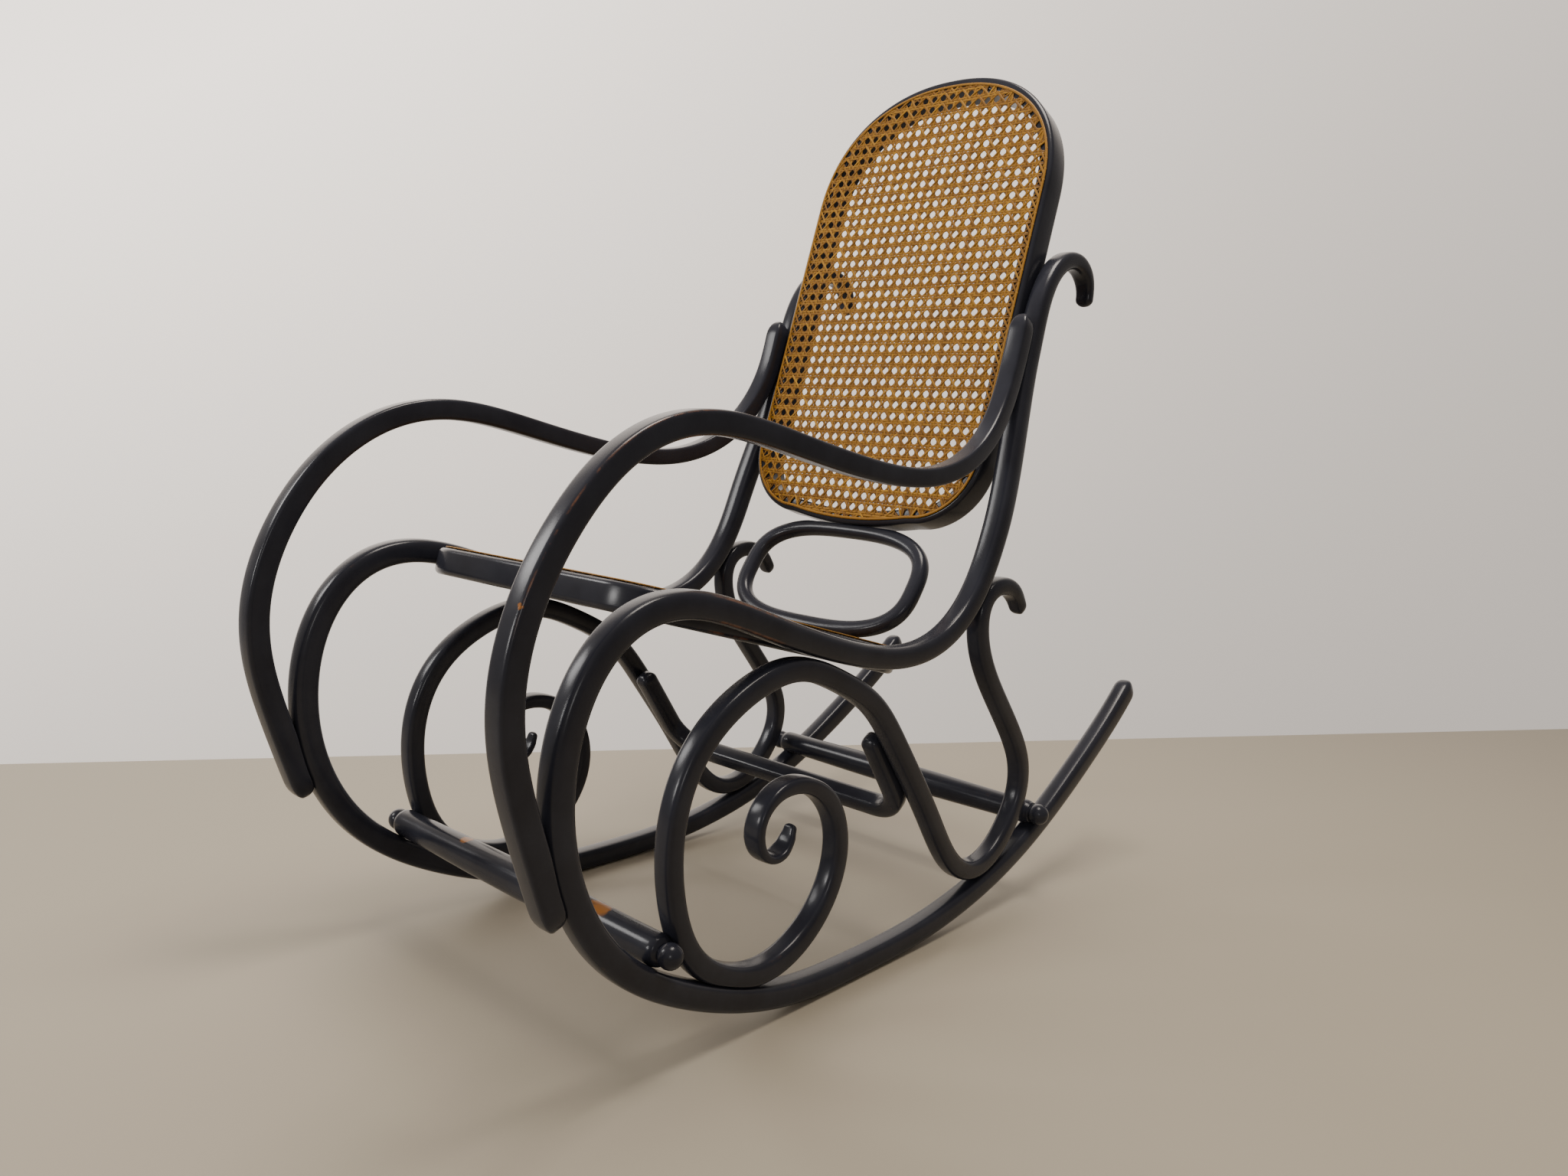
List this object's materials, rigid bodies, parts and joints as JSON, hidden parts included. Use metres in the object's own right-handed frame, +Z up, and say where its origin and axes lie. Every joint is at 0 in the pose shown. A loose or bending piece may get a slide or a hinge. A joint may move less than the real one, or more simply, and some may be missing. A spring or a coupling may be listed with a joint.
{
  "type": "bentwood rocking chair",
  "caption": "Rocking chair of bent round-edged rods: runners that curve up into seat rail and stile, inner scrolls, looped armrests, arched back and seat of woven cane.",
  "frame": {"origin": "on the floor, under the middle of the chair's overall length and width", "axes": "+Z up, the sitter faces -Y, the sitter's left is +X"},
  "size_m": [0.4902, 1.1448, 1.0912],
  "materials": {
    "ebonised_wood": "black lacquer, satin gloss",
    "cane": "woven rattan cane, natural honey colour",
    "binding_cane": "wide rattan binding strand, natural"
  },
  "bodies": {
    "root": {"side_rail_left": "ebonised_wood", "side_rail_right": "ebonised_wood", "inner_scroll_left": "ebonised_wood", "inner_scroll_right": "ebonised_wood", "armrest_left": "ebonised_wood", "armrest_right": "ebonised_wood", "seat_frame": "ebonised_wood", "back_frame": "ebonised_wood", "back_ring": "ebonised_wood", "front_stretcher": "ebonised_wood", "rear_stretcher": "ebonised_wood", "seat_brace": "ebonised_wood", "seat_cane": "cane", "back_cane": "cane", "seat_binding": "binding_cane", "back_binding": "binding_cane"}
  },
  "joints": []
}
